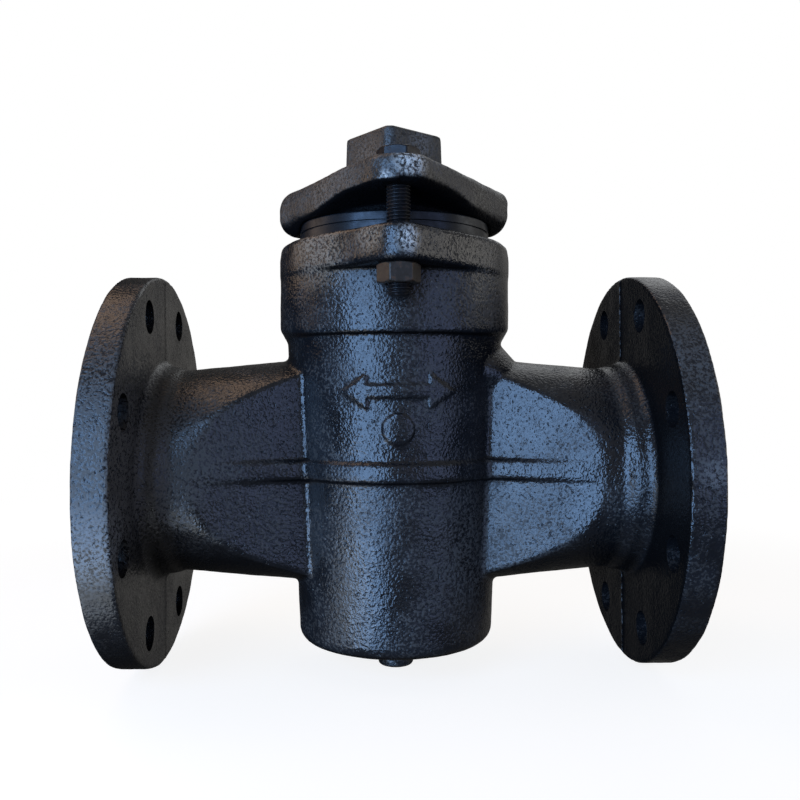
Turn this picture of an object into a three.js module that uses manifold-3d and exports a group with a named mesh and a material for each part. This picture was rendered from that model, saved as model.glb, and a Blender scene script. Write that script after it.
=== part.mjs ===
// Straight-way plug valve, DN100 PN10: cast-iron body with two flanges, tapered plug, packed gland.
// Millimetres. +X is the flow axis and +Z is the plug axis. The pieces are drawn round the point where
// the two axes cross, then the whole valve is raised so that its lowest point is at z = 0.
import * as THREE from 'three';
import { mergeVertices } from 'three/addons/utils/BufferGeometryUtils.js';
import Module from 'manifold-3d';

const wasm = await Module();
wasm.setup();

// ---------------------------------------------------------------- driving dimensions
// Flanged ends
const FACE_X = 150;              // raised face, half of the 300 face-to-face length
const RIM_X = 147;               // outer side of the flange rim
const FLANGE_BACK_X = 130;       // inner side of the flange rim
const FLANGE_R = 107.5;
const RAISED_FACE_R = 79;
const BOLT_CIRCLE_R = 90;
const FLANGE_HOLE_COUNT = 8;
const FLANGE_HOLE_R = 9;
const BORE_R = 50;

// Necks between the barrel and the flanges
const NECK_INNER_X = 30;
const NECK_END_X = 118;
const NECK_R_AT_55 = 61.2;
const NECK_R_AT_112 = 56;
const NECK_STRETCH = 1.05;       // the neck is a little wider than it is high
const WING_X0 = 48;              // the flats leave the barrel here
const WING_Y0 = 32.3;
const WING_SLOPE = 0.41;

// Cast rib and band at mid height
const RIB_LOW_Z = -3;
const RIB_HIGH_Z = 7;
const RIB_PROUD = 4;
const RIB_END_X = 96;
const BAND_PROUD = 2.8;

// Barrel round the plug axis
const BARREL_BOTTOM_Z = -94.5;
const BARREL_TOP_Z = 124;
const BARREL_R_AT_0 = 57.5;
const BARREL_TAPER = 0.04;
const BARREL_EDGE_R = 6;
const COLLAR_R = 64.4;
const COLLAR_LOW_Z = 73;
const COLLAR_EDGE_R = 4;
const FLOOR_Z = -80;

// Body lugs and gland ears on the gland bolt centres
const GLAND_BOLT_Y = 75;
const LUG_R = 12.5;
const LUG_LOW_Z = 105.5;
const LUG_EDGE_R = 4;
const CLEARANCE_HOLE_R = 6.75;

// Gland plate
const GLAND_LOW_Z = 142.5;       // underside of the ears
const GLAND_SIDE_LOW_Z = 131;    // underside at the sides, where the plate hangs round the follower
const GLAND_HIGH_Z = 157;
const GLAND_SEAT_Z = 156.2;      // spot faces under the bolt heads
const GLAND_SEAT_R = 11.5;
const GLAND_EAR_R = 18;
const GLAND_EAR_Y = 70;
const GLAND_SIDE_R = 13;
const GLAND_SIDE_X = 52;
const GLAND_EDGE_R = 4.5;
const GLAND_SIDE_EDGE_R = 11.5;
const GLAND_THIN_X = 46;         // the thin plate between the ears stops short of the rounded sides
const GLAND_NECK_R = 48;
const GLAND_NECK_LOW_Z = 136.3;
const GLAND_BORE_R = 39;

// Plug, stem and square head
const PLUG_TOP_Z = 58;
const PLUG_BOTTOM_Z = -66;
const PLUG_R_TOP = 50.3;
const PLUG_TAPER = 1 / 14;       // radius change per millimetre of height
const PORT_HALF_WIDTH = 25;
const PORT_HALF_HEIGHT = 50;
const PORT_SQUARENESS = 4;       // exponent of the port outline, 2 is an ellipse
const STEM_R = 38;
const STEM_TOP_Z = 152;
const HEAD_FLATS = 43;
const HEAD_LOW_CORNER_R = 28;
const HEAD_HIGH_CORNER_R = 26.8;
const HEAD_TURN_DEG = -7;        // the square stands a little off the diagonal of the port
const HEAD_TOP_Z = 188;

// Stuffing box and packing
const BOX_R = 54;
const BOX_BOTTOM_Z = 59.5;
const WASHER_TOP_Z = 61.5;
const PACKING_TOP_Z = 121;
const PACKING_COUNT = 4;
const FOLLOWER_R = 53.5;
const FOLLOWER_BORE_R = 38.6;

// Fasteners
const M12 = { shankR: 5.9, flats: 19, headHigh: 4.8, nutHigh: 10, nutBoreR: 6.3 };
const NUT_TURN_DEG = 35;         // keeps the nut's corners clear of the collar
const BOLT_HEAD_TURN_DEG = 20;
const GLAND_BOLT_TIP_Z = 89.5;
const SCREW_R = 9.9;
const SCREW_LOW_Z = -111;
const SCREW_TIP_Z = -78;
const LOCK_NUT_FLATS = 30;
const LOCK_NUT_LOW_Z = -103.4;
const SEAL_LOW_Z = -96;
const SEAL_R = 16;
const BALL_R = 6;

const GAP = 0.3;                 // running clearance between separate pieces
const LARGE = 48;                // facets round a large circle
const MEDIUM = 32;
const SMALL = 18;

// ---------------------------------------------------------------- geometry helpers
// Turns a three.js geometry into a manifold solid.
function toSolid(geometry) {
  const bare = geometry.clone();
  for (const name of ['normal', 'uv']) {
    bare.deleteAttribute(name);
  }
  const merged = mergeVertices(bare, 1e-4);
  const index = merged.index.array;
  const triVerts = [];
  for (let i = 0; i < index.length; i += 3) {
    const [a, b, c] = [index[i], index[i + 1], index[i + 2]];
    if (a !== b && b !== c && c !== a) {
      triVerts.push(a, b, c);
    }
  }
  const vertProperties = Float32Array.from(merged.attributes.position.array);
  return new wasm.Manifold(new wasm.Mesh({ numProp: 3, vertProperties, triVerts: Uint32Array.from(triVerts) }));
}

// Turns a manifold solid back into a three.js geometry.
function toGeometry(solid) {
  const mesh = solid.getMesh();
  const geometry = new THREE.BufferGeometry();
  geometry.setAttribute('position', new THREE.BufferAttribute(mesh.vertProperties, 3));
  geometry.setIndex(new THREE.BufferAttribute(mesh.triVerts, 1));
  geometry.computeVertexNormals();
  return geometry;
}

// A solid turned round +Z from [radius, height] points that run up the outside.
function turned(points, segments) {
  const profile = points.map(([r, h]) => new THREE.Vector2(r, h));
  return toSolid(new THREE.LatheGeometry(profile, segments).rotateX(Math.PI / 2));
}

// The same round +X, with the height measured along +X.
function turnedX(points, segments) {
  const profile = points.map(([r, h]) => new THREE.Vector2(r, h));
  return toSolid(new THREE.LatheGeometry(profile, segments).rotateZ(-Math.PI / 2));
}

// A plain cylinder on a vertical axis.
function post(radius, lowZ, highZ, segments, x = 0, y = 0) {
  const geometry = new THREE.CylinderGeometry(radius, radius, highZ - lowZ, segments);
  return toSolid(geometry.rotateX(Math.PI / 2).translate(x, y, (lowZ + highZ) / 2));
}

// A washer or packing ring.
function ring(innerR, outerR, lowZ, highZ, segments) {
  const profile = [[innerR, lowZ], [outerR, lowZ], [outerR, highZ], [innerR, highZ], [innerR, lowZ]];
  return turned(profile, segments);
}

// Points on an arc in a [radius, height] profile, angles in degrees.
function arc(centreR, centreH, radius, fromDeg, toDeg, steps) {
  return Array.from({ length: steps + 1 }, (_, i) => {
    const angle = THREE.MathUtils.degToRad(fromDeg + ((toDeg - fromDeg) * i) / steps);
    return [centreR + radius * Math.cos(angle), centreH + radius * Math.sin(angle)];
  });
}

// The outline of a belt stretched round circles {x, y, r} listed anticlockwise.
function beltOutline(circles) {
  const normals = circles.map((a, i) => {
    const b = circles[(i + 1) % circles.length];
    const span = Math.hypot(b.x - a.x, b.y - a.y);
    return Math.atan2(b.y - a.y, b.x - a.x) - Math.acos((a.r - b.r) / span);
  });
  const shape = new THREE.Shape();
  circles.forEach((circle, i) => {
    const from = normals[(i + circles.length - 1) % circles.length];
    shape.absarc(circle.x, circle.y, circle.r, from, normals[i], false);
  });
  return shape;
}

// A plate between two heights with rounded edges.
function roundedPlate(shape, lowZ, highZ, edgeR, arcSteps, edgeSteps) {
  const geometry = new THREE.ExtrudeGeometry(shape, {
    depth: highZ - lowZ - 2 * edgeR,
    bevelEnabled: true,
    bevelThickness: edgeR,
    bevelSize: edgeR,
    bevelOffset: -edgeR,
    bevelSegments: edgeSteps,
    curveSegments: arcSteps,
  });
  return toSolid(geometry.translate(0, 0, lowZ + edgeR));
}

// A sharp-edged prism over a polygon in the XY plane.
function prism(points, lowZ, highZ) {
  const shape = new THREE.Shape(points.map(([x, y]) => new THREE.Vector2(x, y)));
  const geometry = new THREE.ExtrudeGeometry(shape, { depth: highZ - lowZ, bevelEnabled: false });
  return toSolid(geometry.translate(0, 0, lowZ));
}

// A hexagon with both ends chamfered at the corners. At turn 0 a pair of its sides faces +X and -X.
function hexagon(flats, lowZ, highZ, y = 0, turnDeg = 0) {
  const cornerR = flats / 2 / Math.cos(Math.PI / 6);
  const faceR = 0.95 * flats / 2;
  const chamfer = (cornerR - faceR) * Math.tan(Math.PI / 6);
  const body = post(cornerR, lowZ, highZ, 6);
  const round = turned(
    [[0, lowZ], [faceR, lowZ], [cornerR, lowZ + chamfer], [cornerR, highZ - chamfer], [faceR, highZ], [0, highZ]],
    SMALL,
  );
  return body.intersect(round).rotate([0, 0, turnDeg]).translate([0, y, 0]);
}

// ---------------------------------------------------------------- valve body
// Outer radius of the barrel below the collar.
function barrelR(z) {
  return BARREL_R_AT_0 + BARREL_TAPER * z;
}

// Seat radius of the tapered plug.
function plugR(z) {
  return PLUG_R_TOP + (z - PLUG_TOP_Z) * PLUG_TAPER;
}

function barrel() {
  const lowR = barrelR(BARREL_BOTTOM_Z);
  const waistR = barrelR(COLLAR_LOW_Z - 1);
  return turned([
    [0, BARREL_BOTTOM_Z],
    ...arc(lowR - BARREL_EDGE_R, BARREL_BOTTOM_Z + BARREL_EDGE_R, BARREL_EDGE_R, -90, 0, 4),
    [waistR, COLLAR_LOW_Z - 1],
    [COLLAR_R - 2, COLLAR_LOW_Z],
    [COLLAR_R, COLLAR_LOW_Z + 2],
    ...arc(COLLAR_R - COLLAR_EDGE_R, BARREL_TOP_Z - COLLAR_EDGE_R, COLLAR_EDGE_R, 0, 90, 3),
    [0, BARREL_TOP_Z],
  ], LARGE);
}

// Half width of the neck between its front and rear flats.
function wingY(x) {
  return WING_Y0 + WING_SLOPE * (x - WING_X0);
}

// The round neck on the +X side, cut flat in front and behind.
function neck() {
  const slope = (NECK_R_AT_112 - NECK_R_AT_55) / (112 - 55);
  const radiusAt = (x) => NECK_R_AT_55 + slope * (x - 55);
  const round = turnedX(
    [[0, NECK_INNER_X], [radiusAt(NECK_INNER_X), NECK_INNER_X], [radiusAt(NECK_END_X), NECK_END_X], [0, NECK_END_X]],
    LARGE,
  ).scale([1, NECK_STRETCH, 1]);
  const wedge = prism([
    [NECK_INNER_X - 1, -wingY(NECK_INNER_X - 1)],
    [NECK_END_X + 1, -wingY(NECK_END_X + 1)],
    [NECK_END_X + 1, wingY(NECK_END_X + 1)],
    [NECK_INNER_X - 1, wingY(NECK_INNER_X - 1)],
  ], -NECK_R_AT_55 - 10, NECK_R_AT_55 + 10);
  return round.intersect(wedge);
}

// Hub beads, flange disc and raised face on the +X side.
function flange() {
  const backX = FLANGE_BACK_X;
  return turnedX([
    [0, NECK_END_X - 8],
    [55.4, NECK_END_X - 8],
    [57.4, backX - 15],
    [61.2, backX - 11],
    [61, backX - 7.5],
    [64.6, backX - 3.4],
    [72, backX],
    [FLANGE_R, backX],
    [FLANGE_R, RIM_X],
    [RAISED_FACE_R, RIM_X],
    [RAISED_FACE_R, FACE_X],
    [0, FACE_X],
  ], LARGE);
}

// Rib on all four flats, highest at the barrel and fading out along the neck.
function rib() {
  const endY = wingY(RIB_END_X);
  const slope = (endY - WING_Y0 - RIB_PROUD) / (RIB_END_X - WING_X0);
  const waistY = endY - slope * RIB_END_X;
  return prism([
    [RIB_END_X, endY],
    [0, waistY],
    [-RIB_END_X, endY],
    [-RIB_END_X, -endY],
    [0, -waistY],
    [RIB_END_X, -endY],
  ], RIB_LOW_Z, RIB_HIGH_Z);
}

function band() {
  const outerR = barrelR(0) + BAND_PROUD;
  return turned([
    [0, RIB_LOW_Z],
    [outerR - 1.2, RIB_LOW_Z],
    [outerR, RIB_LOW_Z + 1.2],
    [outerR, RIB_HIGH_Z - 1.2],
    [outerR - 1.2, RIB_HIGH_Z],
    [0, RIB_HIGH_Z],
  ], LARGE);
}

function lugs() {
  const outline = beltOutline([
    { x: 0, y: -GLAND_BOLT_Y, r: LUG_R },
    { x: 0, y: 0, r: COLLAR_R },
    { x: 0, y: GLAND_BOLT_Y, r: LUG_R },
    { x: 0, y: 0, r: COLLAR_R },
  ]);
  return roundedPlate(outline, LUG_LOW_Z, BARREL_TOP_Z, LUG_EDGE_R, 6, 3);
}

// Raised marks on the barrel front: a flow arrow that points both ways, and a plain round boss below it.
function frontMarks() {
  const half = 29;
  const headLong = 13;
  const headHalf = 9;
  const barHalf = 3.4;
  const arrow = prism([
    [half, 0],
    [half - headLong, headHalf],
    [half - headLong, barHalf],
    [headLong - half, barHalf],
    [headLong - half, headHalf],
    [-half, 0],
    [headLong - half, -headHalf],
    [headLong - half, -barHalf],
    [half - headLong, -barHalf],
    [half - headLong, -headHalf],
  ], 45, 70);
  const boss = post(8, 45, 70, SMALL).translate([0, -19, 0]);
  const raisedR = (z) => barrelR(z) + 1.5;
  const skin = turned([[0, 10], [raisedR(10), 10], [raisedR(60), 60], [0, 60]], LARGE);
  return arrow.add(boss).rotate([90, 0, 0]).translate([0, 0, 43.5]).intersect(skin);
}

// Outline of the flow passage at distance x from the plug axis, as a function of the angle round +X.
function passagePoint(x, angle) {
  const spread = THREE.MathUtils.clamp((Math.abs(x) - WING_X0) / (FACE_X - 12 - WING_X0), 0, 1);
  const halfWidth = THREE.MathUtils.lerp(PORT_HALF_WIDTH, BORE_R, spread);
  const power = THREE.MathUtils.lerp(PORT_SQUARENESS, 2, spread);
  const [c, s] = [Math.cos(angle), Math.sin(angle)];
  const reach = (Math.abs(c) ** power + Math.abs(s) ** power) ** (-1 / power);
  return [halfWidth * c * reach, PORT_HALF_HEIGHT * s * reach];
}

// The passage between two places on the flow axis: round at the flanges, tall and narrow at the plug.
function passage(fromX, toX, steps) {
  const geometry = new THREE.CylinderGeometry(1, 1, toX - fromX, MEDIUM, steps);
  geometry.rotateZ(-Math.PI / 2).translate((fromX + toX) / 2, 0, 0);
  const position = geometry.attributes.position;
  for (let i = 0; i < position.count; i += 1) {
    const [x, y, z] = [position.getX(i), position.getY(i), position.getZ(i)];
    const onAxis = Math.hypot(y, z) < 0.5;
    const [newY, newZ] = onAxis ? [0, 0] : passagePoint(x, Math.atan2(z, y));
    position.setXYZ(i, x, newY, newZ);
  }
  return toSolid(geometry);
}

// Everything inside the barrel: ball pocket, tapered seat, stuffing box.
function barrelCavity() {
  const seatGap = 0.35;
  return turned([
    [0, FLOOR_Z],
    [34, FLOOR_Z],
    [36, FLOOR_Z + 2],
    [36, PLUG_BOTTOM_Z - 3],
    [plugR(PLUG_BOTTOM_Z - 3) + seatGap, PLUG_BOTTOM_Z - 3],
    [plugR(BOX_BOTTOM_Z) + seatGap, BOX_BOTTOM_Z],
    [BOX_R, BOX_BOTTOM_Z],
    [BOX_R, BARREL_TOP_Z + 1],
    [0, BARREL_TOP_Z + 1],
  ], LARGE);
}

function flangeHoles() {
  const holes = Array.from({ length: FLANGE_HOLE_COUNT }, (_, i) => {
    const angle = ((i + 0.5) * 2 * Math.PI) / FLANGE_HOLE_COUNT;
    const hole = new THREE.CylinderGeometry(FLANGE_HOLE_R, FLANGE_HOLE_R, 2 * FACE_X + 2, SMALL);
    hole.rotateZ(Math.PI / 2);
    return toSolid(hole.translate(0, BOLT_CIRCLE_R * Math.cos(angle), BOLT_CIRCLE_R * Math.sin(angle)));
  });
  const discs = new THREE.BoxGeometry(2 * (FLANGE_BACK_X - 12), 4 * FLANGE_R, 4 * FLANGE_R);
  return holes.reduce((all, hole) => all.add(hole)).subtract(toSolid(discs));
}

function valveBody() {
  const half = neck().add(flange());
  const outside = [half.mirror([1, 0, 0]), rib(), band(), lugs(), barrel(), frontMarks()];
  const cuts = [
    passage(-FACE_X - 1, FACE_X + 1, 12),
    barrelCavity(),
    post(SCREW_R + 0.4, BARREL_BOTTOM_Z - 1, FLOOR_Z + 1, SMALL),
    flangeHoles(),
    post(CLEARANCE_HOLE_R, LUG_LOW_Z - 1, BARREL_TOP_Z + 1, SMALL, 0, -GLAND_BOLT_Y),
    post(CLEARANCE_HOLE_R, LUG_LOW_Z - 1, BARREL_TOP_Z + 1, SMALL, 0, GLAND_BOLT_Y),
  ];
  const cast = outside.reduce((all, piece) => all.add(piece), half);
  return cuts.reduce((all, cut) => all.subtract(cut), cast);
}

// ---------------------------------------------------------------- plug
function plug() {
  const seat = turned([
    [0, PLUG_BOTTOM_Z],
    [plugR(PLUG_BOTTOM_Z) - 1, PLUG_BOTTOM_Z],
    [plugR(PLUG_BOTTOM_Z + 1), PLUG_BOTTOM_Z + 1],
    [PLUG_R_TOP, PLUG_TOP_Z],
    [STEM_R, PLUG_TOP_Z],
    [STEM_R, STEM_TOP_Z - 1.5],
    [STEM_R - 1.5, STEM_TOP_Z],
    [0, STEM_TOP_Z],
  ], LARGE);
  const square = post(HEAD_FLATS / Math.SQRT2, STEM_TOP_Z - 4, HEAD_TOP_Z, 4).rotate([0, 0, HEAD_TURN_DEG]);
  const corners = turned([
    [0, STEM_TOP_Z - 4],
    [HEAD_LOW_CORNER_R, STEM_TOP_Z - 4],
    [HEAD_HIGH_CORNER_R, HEAD_TOP_Z - 3],
    [HEAD_HIGH_CORNER_R - 1, HEAD_TOP_Z - 1],
    [HEAD_HIGH_CORNER_R - 4, HEAD_TOP_Z],
    [0, HEAD_TOP_Z],
  ], MEDIUM);
  return seat.add(square.intersect(corners)).subtract(passage(-PLUG_R_TOP - 2, PLUG_R_TOP + 2, 2));
}

// ---------------------------------------------------------------- gland and packing
// Height of the gland's underside, lowest at the sides and highest at the ears.
function glandLowZ(y) {
  return THREE.MathUtils.lerp(GLAND_SIDE_LOW_Z, GLAND_LOW_Z, THREE.MathUtils.smoothstep(Math.abs(y), 5, 65));
}

function gland() {
  const lozenge = (sideX) => beltOutline([
    { x: sideX, y: 0, r: GLAND_SIDE_R },
    { x: 0, y: GLAND_EAR_Y, r: GLAND_EAR_R },
    { x: -sideX, y: 0, r: GLAND_SIDE_R },
    { x: 0, y: -GLAND_EAR_Y, r: GLAND_EAR_R },
  ]);
  const alongY = [-95, -65, -50, -35, -20, -5, 5, 20, 35, 50, 65, 95];
  const above = [[95, GLAND_HIGH_Z + 3], [-95, GLAND_HIGH_Z + 3], ...alongY.map((y) => [y, glandLowZ(y)])];
  const profile = prism(above, -FACE_X, FACE_X).rotate([90, 0, 90]);
  const deep = roundedPlate(lozenge(GLAND_SIDE_X), GLAND_SIDE_LOW_Z, GLAND_HIGH_Z, GLAND_SIDE_EDGE_R, 5, 3);
  const plate = roundedPlate(lozenge(GLAND_THIN_X), GLAND_LOW_Z, GLAND_HIGH_Z, GLAND_EDGE_R, 5, 3);
  let solid = plate.add(deep.intersect(profile));
  solid = solid.subtract(post(FOLLOWER_R + 2 * GAP, GLAND_SIDE_LOW_Z - 1, GLAND_NECK_LOW_Z, LARGE));
  solid = solid.add(post(GLAND_NECK_R, GLAND_NECK_LOW_Z, GLAND_HIGH_Z - 2, LARGE));
  solid = solid.subtract(post(GLAND_BORE_R, GLAND_NECK_LOW_Z - 1, GLAND_HIGH_Z + 1, LARGE));
  for (const y of [-GLAND_BOLT_Y, GLAND_BOLT_Y]) {
    solid = solid.subtract(post(CLEARANCE_HOLE_R, GLAND_LOW_Z - 1, GLAND_HIGH_Z + 1, SMALL, 0, y));
    solid = solid.subtract(post(GLAND_SEAT_R, GLAND_SEAT_Z, GLAND_HIGH_Z + 1, MEDIUM, 0, y));
  }
  return solid;
}

// The follower ring: a lower sleeve in the stuffing box and a slightly wider head with a groove between.
function glandFollower() {
  const top = GLAND_NECK_LOW_Z;
  return turned([
    [FOLLOWER_BORE_R, PACKING_TOP_Z],
    [FOLLOWER_R, PACKING_TOP_Z],
    [FOLLOWER_R, top - 5.8],
    [FOLLOWER_R - 0.8, top - 5.3],
    [FOLLOWER_R, top - 4.8],
    [FOLLOWER_R, top - 1],
    [FOLLOWER_R - 1, top],
    [FOLLOWER_BORE_R, top],
    [FOLLOWER_BORE_R, PACKING_TOP_Z],
  ], LARGE);
}

function packingRing(number) {
  const high = (PACKING_TOP_Z - WASHER_TOP_Z) / PACKING_COUNT;
  const lowZ = WASHER_TOP_Z + number * high;
  return ring(STEM_R + GAP, BOX_R - GAP, lowZ, lowZ + high, LARGE);
}

function packingBaseWasher() {
  return ring(STEM_R + GAP, BOX_R - GAP, BOX_BOTTOM_Z, WASHER_TOP_Z, LARGE);
}

// ---------------------------------------------------------------- fasteners
function glandBolt(y) {
  const chamfer = 1;
  const shank = turned([
    [0, GLAND_BOLT_TIP_Z],
    [M12.shankR - chamfer, GLAND_BOLT_TIP_Z],
    [M12.shankR, GLAND_BOLT_TIP_Z + chamfer],
    [M12.shankR, GLAND_SEAT_Z + 1],
    [0, GLAND_SEAT_Z + 1],
  ], SMALL).translate([0, y, 0]);
  const head = hexagon(M12.flats, GLAND_SEAT_Z, GLAND_SEAT_Z + M12.headHigh, y, BOLT_HEAD_TURN_DEG);
  return shank.add(head);
}

function glandNut(y) {
  const lowZ = LUG_LOW_Z - M12.nutHigh;
  const hole = post(M12.nutBoreR, lowZ - 1, LUG_LOW_Z + 1, SMALL, 0, y);
  return hexagon(M12.flats, lowZ, LUG_LOW_Z, y, NUT_TURN_DEG).subtract(hole);
}

// Adjusting screw that carries the plug through the ball, with a slot across its outer end.
function bottomScrew() {
  const slotHalf = 1.5;
  const shank = turned([
    [0, SCREW_LOW_Z],
    ...arc(SCREW_R - 2, SCREW_LOW_Z + 2, 2, -90, 0, 3),
    [SCREW_R, SCREW_TIP_Z - 2],
    [SCREW_R - 2, SCREW_TIP_Z],
    [0, SCREW_TIP_Z],
  ], SMALL);
  const slot = new THREE.BoxGeometry(3 * SCREW_R, 2 * slotHalf, 6).translate(0, 0, SCREW_LOW_Z);
  return shank.subtract(toSolid(slot));
}

function bottomLockNut() {
  const hole = post(SCREW_R + 0.4, LOCK_NUT_LOW_Z - 1, SEAL_LOW_Z + 1, SMALL);
  return hexagon(LOCK_NUT_FLATS, LOCK_NUT_LOW_Z, SEAL_LOW_Z).subtract(hole);
}

function bottomSealWasher() {
  return ring(SCREW_R + 0.4, SEAL_R, SEAL_LOW_Z, BARREL_BOTTOM_Z, SMALL);
}

function thrustBall() {
  const centreZ = (PLUG_BOTTOM_Z + SCREW_TIP_Z) / 2;
  return toSolid(new THREE.SphereGeometry(BALL_R, 16, 10).rotateX(Math.PI / 2).translate(0, 0, centreZ));
}

// ---------------------------------------------------------------- materials
const finish = (color, roughness, metalness) => new THREE.MeshStandardMaterial({ color, roughness, metalness });
const blackPaint = finish(0x14161a, 0.42, 0.15);
const wornPaint = finish(0x24211f, 0.55, 0.25);
const machined = finish(0x39434f, 0.35, 0.85);
const blackThread = finish(0x1a1a1c, 0.5, 0.6);
const graphite = finish(0x3a3a3a, 0.8, 0.1);
const steel = finish(0x8a8d90, 0.3, 0.95);
const copper = finish(0x9a5a38, 0.4, 0.9);

// ---------------------------------------------------------------- assembly
const valve = new THREE.Group();
valve.position.z = -SCREW_LOW_Z;

function place(name, solid, material) {
  const mesh = new THREE.Mesh(toGeometry(solid), material);
  mesh.name = name;
  valve.add(mesh);
}

place('valve_body', valveBody(), blackPaint);
place('plug', plug(), wornPaint);
place('gland', gland(), wornPaint);
place('gland_follower', glandFollower(), machined);
place('packing_base_washer', packingBaseWasher(), steel);
for (let i = 0; i < PACKING_COUNT; i += 1) {
  place(`packing_ring_${i + 1}`, packingRing(i), graphite);
}
for (const [where, y] of [['front', -GLAND_BOLT_Y], ['rear', GLAND_BOLT_Y]]) {
  place(`gland_bolt_${where}`, glandBolt(y), blackThread);
  place(`gland_nut_${where}`, glandNut(y), wornPaint);
}
place('bottom_screw', bottomScrew(), blackPaint);
place('bottom_lock_nut', bottomLockNut(), blackPaint);
place('bottom_seal_washer', bottomSealWasher(), copper);
place('thrust_ball', thrustBall(), steel);

export default valve;
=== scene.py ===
"""Looks of the plug valve: cast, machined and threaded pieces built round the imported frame.

Shapes are drawn in millimetres round the point where the flow axis (X) crosses the plug axis (Z),
and are moved into the frame, in metres, when their mesh is made.
"""
import math

import bpy
import numpy as np
import openvdb
from mathutils import Matrix, Vector, noise


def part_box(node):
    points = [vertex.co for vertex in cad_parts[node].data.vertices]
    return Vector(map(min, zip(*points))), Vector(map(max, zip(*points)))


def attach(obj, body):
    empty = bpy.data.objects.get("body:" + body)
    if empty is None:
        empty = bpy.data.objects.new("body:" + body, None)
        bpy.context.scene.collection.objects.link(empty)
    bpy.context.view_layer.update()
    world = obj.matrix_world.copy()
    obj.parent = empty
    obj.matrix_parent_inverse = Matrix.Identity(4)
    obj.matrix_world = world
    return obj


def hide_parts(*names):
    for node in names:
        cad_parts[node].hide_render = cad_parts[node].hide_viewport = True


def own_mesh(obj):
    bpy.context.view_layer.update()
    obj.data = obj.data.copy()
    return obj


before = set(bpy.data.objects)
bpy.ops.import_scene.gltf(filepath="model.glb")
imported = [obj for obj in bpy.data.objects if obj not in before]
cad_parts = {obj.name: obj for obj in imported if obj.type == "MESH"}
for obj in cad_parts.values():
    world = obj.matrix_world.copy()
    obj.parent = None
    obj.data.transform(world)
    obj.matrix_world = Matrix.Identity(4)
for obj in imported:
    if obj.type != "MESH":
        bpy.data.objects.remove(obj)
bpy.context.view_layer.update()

MM = 0.001


def node_range(node, axis):
    """Lowest and highest coordinate of a CAD node along one axis, in mm, heights from the crossing."""
    low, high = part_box(node)
    shift = CROSSING_HEIGHT if axis == 2 else 0.0
    return low[axis] / MM - shift, high[axis] / MM - shift


# ------------------------------------------------------------------ driving dimensions, from the frame
_body_low, _body_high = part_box("valve_body")
FLANGE_R = (_body_high.y - _body_low.y) / 2 / MM
CROSSING_HEIGHT = _body_low.z / MM + FLANGE_R
FACE_X = _body_high.x / MM
RAISED_FACE_HIGH, RIM_THICK = 3.0, 17.0
RIM_X = FACE_X - RAISED_FACE_HIGH
FLANGE_BACK_X = RIM_X - RIM_THICK
BARREL_TOP = node_range("valve_body", 2)[1]
BARREL_BOTTOM = node_range("bottom_seal_washer", 2)[1]
GLAND_SIDE_LOW, GLAND_HIGH = node_range("gland", 2)
GLAND_EAR_RISE = 11.5          # the ears' underside is that much higher than the sides'
GLAND_EAR_LOW = GLAND_SIDE_LOW + GLAND_EAR_RISE
FOLLOWER_LOW, FOLLOWER_HIGH = node_range("gland_follower", 2)
FOLLOWER_R = node_range("gland_follower", 0)[1]
PLUG_LOW, HEAD_TOP = node_range("plug", 2)
BOLT_TIP, BOLT_HEAD_TOP = node_range("gland_bolt_front", 2)
BOLT_HEAD_HIGH = 4.8
BOLT_SEAT = BOLT_HEAD_TOP - BOLT_HEAD_HIGH
NUT_LOW, NUT_HIGH = node_range("gland_nut_front", 2)
BOLT_Y = 75.0
SCREW_LOW, SCREW_TIP = node_range("bottom_screw", 2)

BARREL_R = 57.5                # barrel radius at the height of the crossing
BARREL_TAPER = 0.04
COLLAR_R = 64.4
COLLAR_LOW = 73.0
HUB_R = 52.8                   # height of the oval hub at the flange, from the flow axis
HUB_STRETCH = 1.08             # the hub is a little wider than it is high
NECK_R = 61.2                  # neck radius 55 mm from the plug axis
NECK_TAPER = 0.0912
NECK_STRETCH = 1.05            # the neck is a little wider than it is high
LUG_R = 12.5
LUG_LOW = NUT_HIGH
WING_X = 48.0                  # the flats on the necks leave the barrel here
WING_Y = 32.3
WING_SLOPE = 0.41
RIB_LOW, RIB_HIGH = -3.0, 7.0
RIB_PROUD = 4.0
RIB_END_X = 96.0
BAND_PROUD = 2.8
RAISED_FACE_R = 79.0
BOLT_CIRCLE_R = 90.0
FLANGE_HOLE_R = 9.0
CLEARANCE_R = 6.75             # hole for a gland bolt
SPOT_FACE_R = 11.5
BORE_R = 50.0
PORT_HALF_WIDTH = 25.0
PLUG_R_TOP, PLUG_TOP = 50.3, 58.0
PLUG_TAPER = 1 / 14
STEM_R, STEM_TOP = 38.0, 152.0
HEAD_FLATS, HEAD_CORNER = 43.0, 28.0
HEAD_TURN = math.radians(-7)
BOX_R, BOX_BOTTOM = 54.0, 59.5
POCKET_R, POCKET_LOW = 36.0, -80.0
GLAND_BORE_R, FOLLOWER_BORE_R = 39.0, 38.6
RING_GAP = 0.3                 # between the packing and the walls of its box
BOLT_R, BOLT_PITCH, BOLT_FLATS = 5.95, 1.75, 19.0
BOLT_HEAD_TURN, NUT_TURN = math.radians(20), math.radians(35)
NUT_BORE_R = 6.2
SCREW_R, SCREW_PITCH, SCREW_HOLE_R = 9.9, 2.5, 10.3
LOCK_NUT_FLATS, LOCK_NUT_BORE_R = 30, 10.2


# ------------------------------------------------------------------ distance fields, in mm
def round_union(a, b, radius):
    """Joins two fields with a fillet of that radius."""
    inner = np.hypot(np.maximum(radius - a, 0), np.maximum(radius - b, 0))
    return np.maximum(radius, np.minimum(a, b)) - inner


def round_cut(a, b, radius):
    """Keeps what is inside both fields, with the edge rounded to that radius."""
    inner = np.hypot(np.maximum(radius + a, 0), np.maximum(radius + b, 0))
    return np.minimum(-radius, np.maximum(a, b)) + inner


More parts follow.
